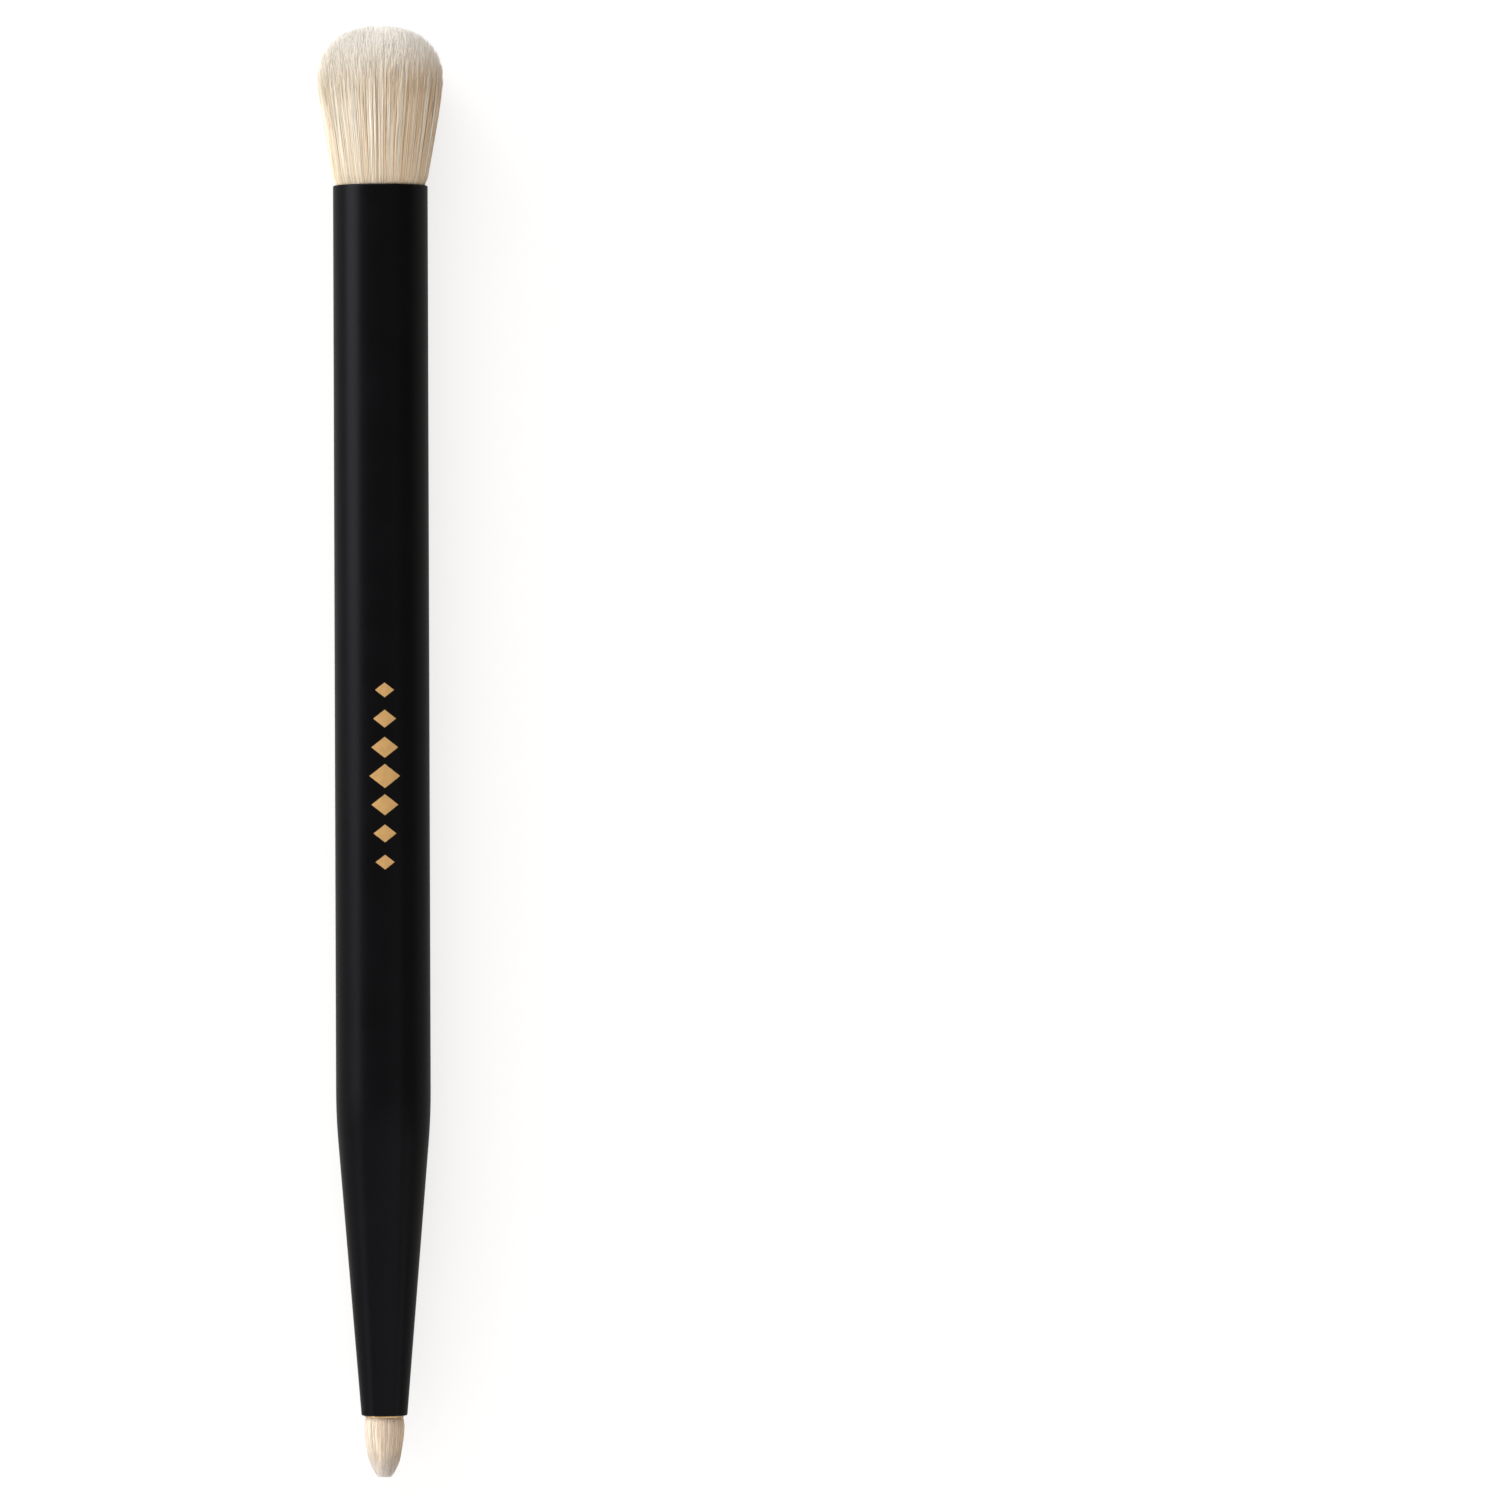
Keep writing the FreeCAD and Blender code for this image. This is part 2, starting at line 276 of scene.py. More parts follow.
class Tree:
    """A node tree in which each call adds one node and gives its value."""

    def __init__(self, group):
        self.group = group

    def feed(self, node, inputs):
        """Links a field to each of these sockets, or sets the socket's own value."""
        for key, value in inputs.items():
            if isinstance(value, Field):
                self.group.links.new(value.socket, node.inputs[key])
            else:
                node.inputs[key].default_value = value

    def add(self, kind, inputs, output=0, **options):
        """Adds a node with these options and inputs, and gives one of its outputs."""
        node = self.group.nodes.new(kind)
        for option, value in options.items():
            setattr(node, option, value)
        self.feed(node, inputs)
        return Field(self, node.outputs[output])

    def math(self, operation, *values):
        """A sum, a product, a sine or another operation on numbers."""
        return self.add("ShaderNodeMath", dict(enumerate(values)), operation=operation)

    def clamp(self, value):
        """The value, kept from 0 to 1."""
        return self.add("ShaderNodeMath", {0: value, 1: 0.0}, operation="ADD", use_clamp=True)

    def ease(self, value, low, high):
        """Rises smoothly from 0 to 1 between two values."""
        return self.add(
            "ShaderNodeMapRange", {"Value": value, "From Min": low, "From Max": high},
            interpolation_type="SMOOTHSTEP")

    def between(self, factor, low, high):
        """A number that goes from low to high as the factor goes from 0 to 1."""
        return low + factor * (high - low)

    def swing(self, factor, width):
        """A number as far below 0 as above it, over a width, as the factor goes from 0 to 1."""
        return (factor - 0.5) * width

    def vector(self, x, y, z):
        """A vector of three numbers."""
        return self.add("ShaderNodeCombineXYZ", {"X": x, "Y": y, "Z": z})

    def split(self, vector):
        """The three parts of a vector."""
        first = self.add("ShaderNodeSeparateXYZ", {"Vector": vector})
        return [first, first.beside(1), first.beside(2)]

    def noise(self, vector, grain, detail, output="Fac", dimensions="3D"):
        """Noise from 0 to 1 whose features are about as large as the grain."""
        return self.add(
            "ShaderNodeTexNoise", {"Vector": vector, "Scale": 1 / grain, "Detail": detail},
            output=output, noise_dimensions=dimensions)

    def mix(self, factor, first, second):
        """A colour between two colours."""
        return self.add(
            "ShaderNodeMix", {0: factor, 6: first, 7: second}, output=2, data_type="RGBA")

    def attribute(self, name):
        """A number that the mesh holds for its material."""
        return self.add("ShaderNodeAttribute", {}, output="Fac", attribute_name=name)

    def place(self, along=1.0):
        """A point of the piece, in metres. A low value of along draws a pattern out along the brush."""
        point = self.add("ShaderNodeTexCoord", {}, output="Object")
        return self.add("ShaderNodeMapping", {"Vector": point, "Scale": (1, along, 1)})

    def bump(self, height, depth, strength):
        """The normal of a surface with bumps of a depth."""
        return self.add(
            "ShaderNodeBump", {"Height": height, "Distance": depth, "Strength": strength},
            output="Normal")


class GeometryTree(Tree):
    """A geometry tree with named inputs."""

    def __init__(self, name, sockets):
        super().__init__(bpy.data.node_groups.new(name, "GeometryNodeTree"))
        interface = self.group.interface
        self.identifiers = {}
        for socket_name, kind in sockets.items():
            item = interface.new_socket(socket_name, in_out="INPUT", socket_type="NodeSocket" + kind)
            self.identifiers[socket_name] = item.identifier
        interface.new_socket("Geometry", in_out="OUTPUT", socket_type="NodeSocketGeometry")
        entry = self.group.nodes.new("NodeGroupInput")
        self.sizes = {socket_name: Field(self, entry.outputs[socket_name]) for socket_name in sockets}

    def chance(self, identity, seed):
        """A random number from 0 to 1 for each identity."""
        return self.add(
            "FunctionNodeRandomValue", {"ID": identity, "Seed": seed}, output=1, data_type="FLOAT")

    def keep(self, geometry, name, value, domain="POINT", data_type="FLOAT"):
        """Stores a value on the geometry under a name."""
        return self.add(
            "GeometryNodeStoreNamedAttribute", {"Geometry": geometry, "Name": name, "Value": value},
            domain=domain, data_type=data_type)

    def kept(self, name):
        """Reads a stored value."""
        return self.add("GeometryNodeInputNamedAttribute", {"Name": name}, data_type="FLOAT")

    def join(self, *geometries):
        """These shapes as one."""
        node = self.group.nodes.new("GeometryNodeJoinGeometry")
        for geometry in geometries:
            self.feed(node, {0: geometry})
        return Field(self, node.outputs[0])

    def laid(self, geometry):
        """Turns a shape that was made along Z to lie along Y, at its mouth."""
        return self.add("GeometryNodeTransform", {
            "Geometry": geometry, "Translation": self.sizes["Mouth"], "Rotation": self.sizes["Turn"]})

    def close(self, geometry):
        """Ends the tree with plain geometry in its material."""
        plain = self.add("GeometryNodeRealizeInstances", {"Geometry": geometry})
        finished = self.add(
            "GeometryNodeSetMaterial", {"Geometry": plain, "Material": self.sizes["Material"]})
        self.feed(self.group.nodes.new("NodeGroupOutput"), {"Geometry": finished})

    def grow(self, name, values):
        """A new object whose plain mesh is what the tree makes with these inputs."""
        piece = bpy.data.objects.new(name, bpy.data.meshes.new(name))
        bpy.context.scene.collection.objects.link(piece)
        modifier = piece.modifiers.new(self.group.name, "NODES")
        modifier.node_group = self.group
        for socket_name, value in values.items():
            modifier[self.identifiers[socket_name]] = value
        depsgraph = bpy.context.evaluated_depsgraph_get()
        grown = bpy.data.meshes.new_from_object(
            piece.evaluated_get(depsgraph), preserve_all_data_layers=True, depsgraph=depsgraph)
        piece.modifiers.remove(modifier)
        piece.data = grown
        if not grown.polygons:
            raise RuntimeError(f"{name} came out empty")
        return piece


def chosen(settings, names):
    """The settings that a tree's inputs are named for."""
    return {name: getattr(settings, name.lower().replace(" ", "_")) for name in names}


def turned(towards):
    """The rotation that lays a shape's own Z along +Y, or along -Y."""
    return (-towards * math.pi / 2, 0, 0)


# Meshes that are turned about the brush's axis

TUBE_SIDES = 192
FERRULE_SIDES = 128
HEART_SIDES = 96
FERRULE_LIP_STEPS = 6
GUARD = 0.4 * MM  # rings this close to an arc keep the straight runs' shading straight


def rounded(corners, steps=10):
    """The outline through corners (radius, place, rounding), walked once round, with an arc at each."""
    outline = []
    places = [Vector(corner[:2]) for corner in corners]
    for index, (_, _, rounding) in enumerate(corners):
        here = places[index]
        back = (places[index - 1] - here).normalized()
        ahead = (places[(index + 1) % len(places)] - here).normalized()
        half = back.angle(ahead) / 2
        reach = rounding / math.tan(half)
        centre = here + (back + ahead).normalized() * rounding / math.sin(half)
        start = here + back * reach - centre
        sweep = (here + ahead * reach - centre).angle_signed(start)
        guard = min(reach, GUARD)
        outline.append(here + back * (reach + guard))
        for step in range(steps + 1):
            outline.append(centre + Matrix.Rotation(sweep * step / steps, 2) @ start)
        outline.append(here + ahead * (reach + guard))
    return outline


def angles_round(sides):
    """The angles of a ring's corners."""
    return [2 * math.pi * side / sides for side in range(sides)]


def finished_object(name, shape):
    """A smooth object in the scene, made from a shape that is then freed."""
    for face in shape.faces:
        face.smooth = True
    mesh = bpy.data.meshes.new(name)
    shape.to_mesh(mesh)
    shape.free()
    piece = bpy.data.objects.new(name, mesh)
    bpy.context.scene.collection.objects.link(piece)
    return piece


def lathe(name, outline, sides):
    """A closed ring of a piece, turned from an outline that keeps clear of the axis."""
    shape = bmesh.new()
    rings = []
    for radius, along in outline:
        rings.append([
            shape.verts.new((radius * math.sin(turn), along, AXIS_HEIGHT + radius * math.cos(turn)))
            for turn in angles_round(sides)])
    for ring, following in zip(rings, rings[1:] + rings[:1]):
        for side in range(sides):
            beside = (side + 1) % sides
            shape.faces.new((ring[side], ring[beside], following[beside], following[side]))
    bmesh.ops.recalc_face_normals(shape, faces=shape.faces)
    return finished_object(name, shape)


HEART_SHARE = 0.93  # the heart's radius, as a share of the bundle's
HEART_DEPTH = 0.45 * MM  # how far the heart's top lies below the shortest tips
HEART_ROOT = 2 * MM  # how far the heart goes down inside the mouth
HEART_BORE = 0.04 * MM  # a pinhole that keeps the outline clear of the axis
HEART_STEPS = 18
HEART_FLANK = (0.8, 0.6, 0.4, 0.25, 0.1, 0.05, 0.0)  # the flank's rings, closer where the bundle springs out


def tuft_heart(place, settings):
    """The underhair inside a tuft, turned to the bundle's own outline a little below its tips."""
    def bundle(rise):
        """The heart's radius at a height above the mouth."""
        spring = settings.spring * min(rise / SPRING_REACH, 1)
        tuck = settings.tuck * (rise / place.top) ** settings.tuck_power
        return HEART_SHARE * (settings.mouth_radius + spring + settings.flare * rise - tuck)

    crown = []
    for step in range(HEART_STEPS + 1):
        outward = math.sin(math.pi / 2 * step / HEART_STEPS)
        dome = max(1 - outward ** settings.crown_power, 0) ** (1 / settings.crown_power)
        drop = settings.crown_height * (1 - min(dome / settings.crown_cut, 1))
        rise = place.top - drop - settings.spread - HEART_DEPTH
        crown.append((max(outward * bundle(rise), HEART_BORE), rise))
    foot = crown[-1][1]
    flank = [(bundle(foot * part), foot * part) for part in HEART_FLANK]
    root = [(HEART_SHARE * settings.waist_radius, -HEART_ROOT), (HEART_BORE, -HEART_ROOT)]
    outline = [(radius, place.mouth + place.towards * rise) for radius, rise in crown + flank + root]
    heart = lathe(place.node + "_heart", outline, HEART_SIDES)
    heights = heart.data.attributes.new("height", "FLOAT", "POINT")
    for vertex, height in zip(heart.data.vertices, heights.data):
        height.value = max(place.towards * (vertex.co.y - place.mouth) / place.top, 0)
    return heart


# Finishes

def new_material(name):
    """A node material, its tree and its shader."""
    material = bpy.data.materials.new(name)
    material.use_nodes = True
    tree = Tree(material.node_tree)
    return material, tree, material.node_tree.nodes["Principled BSDF"]


def opaque(rgb, level=1.0):
    """A colour socket's value, at a level of the colour's own brightness."""
    return (*[part * level for part in rgb], 1.0)


def paint(mesh, material):
    """Gives a mesh one material."""
    mesh.materials.clear()
    mesh.materials.append(material)


def lacquer_material(settings):
    """Satin black lacquer: a fine even grain, with slow clouds where the coat is thicker."""
    material, tree, shader = new_material("satin_black_lacquer")
    cloud = tree.noise(tree.place(), grain=5 * MM, detail=3)
    grain = tree.noise(tree.place(), grain=0.08 * MM, detail=2)
    thin = opaque(settings.lacquer, level=0.75)
    thick = opaque(settings.lacquer, level=1.25)
    unevenness = tree.swing(cloud, width=0.07) + tree.swing(grain, width=0.05)
    tree.feed(shader, {
        "Base Color": tree.mix(cloud, thin, thick),
        "Roughness": settings.roughness + unevenness,
        "Specular IOR Level": 0.12,
        "Specular Tint": opaque(settings.gloss),
        "Normal": tree.bump(grain, depth=0.004 * MM, strength=0.35)})
    return material


def foil_material(settings):
    """Hot-stamped foil: warm metal with the fine dimples of the coat below it."""
    material, tree, shader = new_material("stamped_foil")
    mottle = tree.noise(tree.place(), grain=0.7 * MM, detail=3)
    dimple = tree.noise(tree.place(), grain=0.06 * MM, detail=2)
    dull = opaque(settings.foil, level=0.85)
    bright = opaque(settings.foil, level=1.15)
    tree.feed(shader, {
        "Base Color": tree.mix(mottle, dull, bright),
        "Roughness": tree.between(dimple, low=0.38, high=0.54),
        "Metallic": 0.55,
        "Normal": tree.bump(dimple, depth=0.004 * MM, strength=0.4)})
    return material


def brass_material(settings):
    """Drawn brass: fine lines along the tube, a little tarnish."""
    material, tree, shader = new_material("drawn_brass")
    lines = tree.noise(tree.place(along=0.03), grain=0.05 * MM, detail=3)
    tarnish = tree.noise(tree.place(), grain=1.2 * MM, detail=3)
    dull = opaque(settings.brass, level=0.82)
    bright = opaque(settings.brass, level=1.1)
    tree.feed(shader, {
        "Base Color": tree.mix(tarnish, dull, bright),
        "Roughness": tree.between(lines, low=0.24, high=0.42),
        "Metallic": 0.85,
        "Normal": tree.bump(lines, depth=0.004 * MM, strength=0.3)})
    return material


def wood_material(settings):
    """Turned hardwood: growth rings, and fibres along the dowel."""
    material, tree, shader = new_material("turned_hardwood")
    ring_width = 1.1 * MM
    ring_drift = 4 * MM
    ring_slant = 0.6
    ring_share = 0.2
    fibre_share = 0.4
    lightness = 0.3
    drift = tree.noise(tree.place(along=0.05), grain=3 * MM, detail=3)
    x, _, z = tree.split(tree.place())
    ring = tree.math("SINE", (x * ring_slant + z + drift * ring_drift) * (2 * math.pi / ring_width))
    fibre = tree.noise(tree.place(along=0.02), grain=0.12 * MM, detail=3)
    grain = tree.clamp(lightness + ring * ring_share + fibre * fibre_share)
    tree.feed(shader, {
        "Base Color": tree.mix(grain, opaque(settings.wood_shade), opaque(settings.wood_light)),
        "Roughness": tree.between(fibre, low=0.5, high=0.75),
        "Normal": tree.bump(fibre, depth=0.02 * MM, strength=0.4)})
    return material


def resin_material(settings):
    """Set resin: clouded amber."""
    material, tree, shader = new_material("set_resin")
    cloud = tree.noise(tree.place(), grain=0.9 * MM, detail=4)
    tree.feed(shader, {
        "Base Color": tree.mix(cloud, opaque(settings.resin_shade), opaque(settings.resin_light)),
        "Roughness": tree.between(cloud, low=0.15, high=0.35),
        "Normal": tree.bump(cloud, depth=0.03 * MM, strength=0.3)})
    return material


def thread_material(settings):
    """Twisted thread: plies that run round it aslant, with painted shade darkening the grooves between them.
    """
    material, tree, shader = new_material("twisted_thread")
    ply = 0.5 + 0.5 * tree.math("SINE", tree.attribute("twist") * (2 * math.pi))
    fluff = tree.noise(tree.place(), grain=0.05 * MM, detail=3)
    relief = ply + fluff * 0.4
    tree.feed(shader, {
        "Base Color": tree.mix(ply, opaque(settings.thread_painted_shade), opaque(settings.thread_light)),
        "Roughness": tree.between(fluff, low=0.6, high=0.9),
        "Normal": tree.bump(relief, depth=0.02 * MM, strength=0.6)})
    return material


def bristle_material(name, settings):
    """Soft cream fibre: warm at the mouth, pale at the tip, with darker clumps at random, and painted shade
    that darkens the tuft towards its right side.
    """
    material, tree, shader = new_material(name)
    height = tree.attribute("height")
    tone = tree.attribute("tone")
    x, _, _ = tree.split(tree.place())
    # Painted shade: a mask that grows across the tuft towards its right side, away from the lamps
    painted_shade_side = x / settings.crown_radius

    # A clump darkens as one and single strands differ less; painted shade darkens the right side, the side
    # away from the lamps
    darkness = tree.attribute("clump") * 0.8 + tone * 0.5 + painted_shade_side * 0.4
    streaks_and_painted_shade = tree.ease(darkness, low=0.45, high=1.2)
    pale = tree.ease(height, low=0.55, high=1.0)
    stem = tree.mix(tree.ease(height, low=0.0, high=0.5), opaque(settings.root), opaque(settings.body))
    streaked_and_shaded_stem = tree.mix(streaks_and_painted_shade * (1.0 - pale), stem, opaque(settings.streak))
    tree.feed(shader, {
        "Base Color": tree.mix(pale, streaked_and_shaded_stem, opaque(settings.tip)),
        "Roughness": tree.between(tone, low=0.42, high=0.62),
        "Sheen Weight": 0.45,
        "Sheen Roughness": 0.5})
    return material


def heart_material(name, settings):
    """The fine underhair deep in a tuft: thin tan and cream lines along it, pale at the crown."""
    material, tree, shader = new_material(name)
    lines = tree.noise(tree.place(along=0.03), grain=0.1 * MM, detail=2)
    pale = tree.ease(tree.attribute("height"), low=0.5, high=1.0)
    light = tree.ease(lines, low=0.35, high=0.65)
    stem = tree.mix(light, opaque(settings.streak), opaque(settings.body))
    tree.feed(shader, {
        "Base Color": tree.mix(pale, stem, opaque(settings.tip)),
        "Roughness": tree.between(lines, low=0.6, high=0.8),
        "Normal": tree.bump(lines, depth=0.04 * MM, strength=0.5)})
    return material


# Geometry trees for what repeats

STRAND_POINTS = 8
STRAND_SIDES = 3
ROOT_SHARE = 2 / 7  # the share of a strand's points that lie below the mouth
ROOT_POWER = 2.4  # crowds a root's points towards the mouth, so that the strands clear the ferrule's edge
FREE_POWER = 1.5  # crowds the free points towards the mouth, where the bundle springs out
GOLDEN_ANGLE = math.pi * (3 - math.sqrt(5))
TURN_JITTER = 0.03  # how far a strand may leave its even place round the bundle, in radians
PULL_ARC = 2.7  # the arc of a sine, in radians, so that a clump is closest a little above its middle
WAVE_BENDS = 1.6  # how much of the noise a strand follows along its length
WAVE_APART = 900.0  # strands read the noise this far from each other, so that each waves by itself
STRAY_GAIN = 3.0  # how much wider a stray waves, on top of its own wave
TIP_THINNING = 0.7  # the share of its thickness that a strand loses at its tip
TIP_POWER = 6  # how late a strand thins
NEARLY = 0.01  # whole numbers this close are the same
MAP_COLUMNS = 64  # strands in a row of the texture map
MAP_SIDE_GAP = 0.1  # the share of a strand's cell that stays free at each side
MAP_END_GAP = 0.05  # the share of a strand's cell that stays free at each end

# The tuft's sizes, which are inputs of its tree and settings of the same names
TUFT_SIZES = (
    "Waist Radius", "Mouth Radius", "Spring", "Flare", "Tuck", "Tuck Power",
    "Crown Radius", "Crown Height", "Crown Power", "Crown Cut", "Spread",
    "Clump Size", "Clump Pull", "Clump Lean", "Wave", "Strand Diameter", "Stray Share")


def tuft_tree():
    """Bristles that spring from a bound root, spread with the flare and end on a dome."""
    tree = GeometryTree("Tuft of bristles", {
        **dict.fromkeys(("Strands", "First Strand", "All Strands", "Seed"), "Int"),
        **dict.fromkeys(("Root Depth", "Top", *TUFT_SIZES), "Float"),
        "Mouth": "Vector", "Turn": "Rotation", "Material": "Material"})
    size = tree.sizes
    seed = size["Seed"]
    crown_radius = size["Crown Radius"]

    line = tree.add("GeometryNodeCurvePrimitiveLine", {})
    line = tree.add("GeometryNodeResampleCurve", {"Curve": line, "Count": STRAND_POINTS})
    strands = tree.add(
        "GeometryNodeDuplicateElements", {"Geometry": line, "Amount": size["Strands"]}, domain="SPLINE")
    strand = strands.beside("Duplicate Index") + size["First Strand"]
    step = tree.add("GeometryNodeSplineParameter", {}, output="Factor")
    rooted = tree.clamp(step / ROOT_SHARE)
    free = tree.clamp((step - ROOT_SHARE) / (1 - ROOT_SHARE))

    # Strands stand evenly over the bundle, as seeds do in a sunflower
    outward = tree.math("SQRT", (strand + tree.chance(strand, seed)) / size["All Strands"])
    turn = strand * GOLDEN_ANGLE + tree.chance(strand, seed + 1) * TURN_JITTER
    across = outward * tree.math("COSINE", turn)
    upward = outward * tree.math("SINE", turn)

    # A clump's strands draw together on their way up and lean as one
    clump_place = tree.vector(across * crown_radius, upward * crown_radius, 0.0)
    cells = tree.add(
        "ShaderNodeTexVoronoi", {"Vector": clump_place, "Scale": 1.0 / size["Clump Size"]},
        output="Position", voronoi_dimensions="2D", feature="F1")
    cell_x, cell_y, _ = tree.split(cells)
    lean_x, lean_y, clump = tree.split(cells.beside("Color"))
    pull = size["Clump Pull"] * tree.math("SINE", free * PULL_ARC)
    lean = size["Clump Lean"] / crown_radius * free

    # Each strand waves by itself, and a few stand out
    stray = tree.math("LESS_THAN", tree.chance(strand, seed + 2), size["Stray Share"])
    wave_place = tree.vector(free * WAVE_BENDS, tree.chance(strand, seed + 3) * WAVE_APART, 0.0)
    wave_noise = tree.noise(wave_place, grain=1.0, detail=1.0, output="Color", dimensions="2D")
    wave_x, wave_y, _ = tree.split(wave_noise)
    wave = size["Wave"] / crown_radius * free * (1.0 + stray * STRAY_GAIN)

    def bent(even, cell, lean_side, wave_side):
        """A strand's place in the bundle, moved from its even place by its clump and its wave."""
        drawn = even + (cell / crown_radius - even) * pull
        return drawn + tree.swing(lean_side, lean) + tree.swing(wave_side, wave)

    across = bent(across, cell_x, lean_x, wave_x)
    upward = bent(upward, cell_y, lean_y, wave_y)

    # The tips end on a dome, some a little short of it
    inside = tree.clamp(1.0 - tree.math("POWER", outward, size["Crown Power"]))
    dome = tree.clamp(tree.math("POWER", inside, 1.0 / size["Crown Power"]) / size["Crown Cut"])
    shortness = size["Spread"] * tree.chance(strand, seed + 4)
    tip = size["Top"] - size["Crown Height"] * (1.0 - dome) - shortness
    rise = tip * tree.math("POWER", free, FREE_POWER)
    height = rise - tree.math("POWER", 1.0 - rooted, ROOT_POWER) * size["Root Depth"]

    # The bundle widens from its waist to the mouth, springs out, flares and is drawn in at the top
    radius = tree.between(rooted, low=size["Waist Radius"], high=size["Mouth Radius"])
    radius = radius + size["Flare"] * rise + size["Spring"] * tree.clamp(rise / SPRING_REACH)
    radius = radius - size["Tuck"] * tree.math("POWER", rise / size["Top"], size["Tuck Power"])
    hair = tree.add("GeometryNodeSetPosition", {
        "Geometry": strands, "Position": tree.vector(across * radius, upward * radius, height)})

    # What the material and the texture map read
    hair = tree.keep(hair, "height", rise / size["Top"])
    hair = tree.keep(hair, "tone", tree.chance(strand, seed + 5))
    hair = tree.keep(hair, "clump", clump)
    hair = tree.keep(hair, "strand", strand - size["First Strand"])
    hair = tree.keep(hair, "climb", step)

    thinning = 1.0 - tree.math("POWER", free, TIP_POWER) * TIP_THINNING
    ring = tree.add("GeometryNodeCurvePrimitiveCircle", {"Resolution": STRAND_SIDES, "Radius": 1.0})
    ring = tree.keep(ring, "around", tree.add("GeometryNodeInputIndex", {}))
    hair = tree.add("GeometryNodeCurveToMesh", {
        "Curve": hair, "Profile Curve": ring, "Scale": size["Strand Diameter"] / 2.0 * thinning,
        "Fill Caps": True})
    hair = tree.add("GeometryNodeSetShadeSmooth", {"Geometry": hair})
    tree.close(tree.laid(strand_map(tree, hair)))
    return tree


def strand_map(tree, hair):
    """Gives each strand its own cell of the texture map, round it and along it."""
    around = tree.kept("around")
    mean = tree.add("GeometryNodeFieldOnDomain", {0: around}, domain="FACE", data_type="FLOAT")

    # On the face that closes the ring, the first corner counts as the one after the last
    closing = tree.math("COMPARE", mean, (STRAND_SIDES - 1) / 2, NEARLY)
    first = tree.math("LESS_THAN", around, NEARLY)
    round_share = (around + closing * first * STRAND_SIDES) / STRAND_SIDES

    strand = tree.kept("strand")
    row = tree.math("FLOOR", (strand + NEARLY) / MAP_COLUMNS)
    column = strand - row * MAP_COLUMNS
    rows = tree.math("CEIL", tree.sizes["Strands"] / MAP_COLUMNS)
    over = tree.between(round_share, low=MAP_SIDE_GAP, high=1 - MAP_SIDE_GAP)
    up = tree.between(tree.kept("climb"), low=MAP_END_GAP, high=1 - MAP_END_GAP)
    place = tree.vector((column + over) / MAP_COLUMNS, (row + up) / rows, 0.0)
    return tree.keep(hair, "OFBake", place, domain="CORNER", data_type="FLOAT2")


COIL_STEPS = 56  # points in one turn of the thread
THREAD_SIDES = 10
THREAD_PLIES = 3
PLY_PITCH = 0.5 * MM  # the length of thread over which a ply goes once round


def thread_tree():
    """A thread wound in close turns."""
    tree = GeometryTree("Wound thread", {
        **dict.fromkeys(("Turns", "Coil Radius", "Thread Radius"), "Float"),
        "Mouth": "Vector", "Turn": "Rotation", "Material": "Material"})
    size = tree.sizes
    coil = tree.add("GeometryNodeCurveSpiral", {
        "Resolution": COIL_STEPS, "Rotations": size["Turns"], "Start Radius": size["Coil Radius"],
        "End Radius": size["Coil Radius"], "Height": size["Turns"] * size["Thread Radius"] * 2.0})
    coil = tree.keep(coil, "run", tree.add("GeometryNodeSplineParameter", {}, output="Length"))
    ring = tree.add("GeometryNodeCurvePrimitiveCircle", {"Resolution": THREAD_SIDES, "Radius": 1.0})
    ring = tree.keep(ring, "around", tree.add("GeometryNodeSplineParameter", {}, output="Factor"))
    thread = tree.add("GeometryNodeCurveToMesh", {
        "Curve": coil, "Profile Curve": ring, "Scale": size["Thread Radius"], "Fill Caps": True})
    twist = tree.kept("around") * THREAD_PLIES + tree.kept("run") / PLY_PITCH
    thread = tree.keep(thread, "twist", twist)
    thread = tree.add("GeometryNodeSetShadeSmooth", {"Geometry": thread})
    tree.close(tree.laid(thread))
    return tree


ORNAMENT_SIZES = ("Row Length", "Width", "Centre", "Turn Aside", "Lift")
LOZENGE_SHRINK = 0.45  # the share by which the lozenges shrink towards the row's ends
LOZENGE_REACH = 0.42  # half the middle lozenge's length, as a share of the row's pitch
LOZENGE_LEVELS = 4  # how often a lozenge is divided, so that it bends round the barrel
WELD = 1e-6  # corners this close are one, in metres


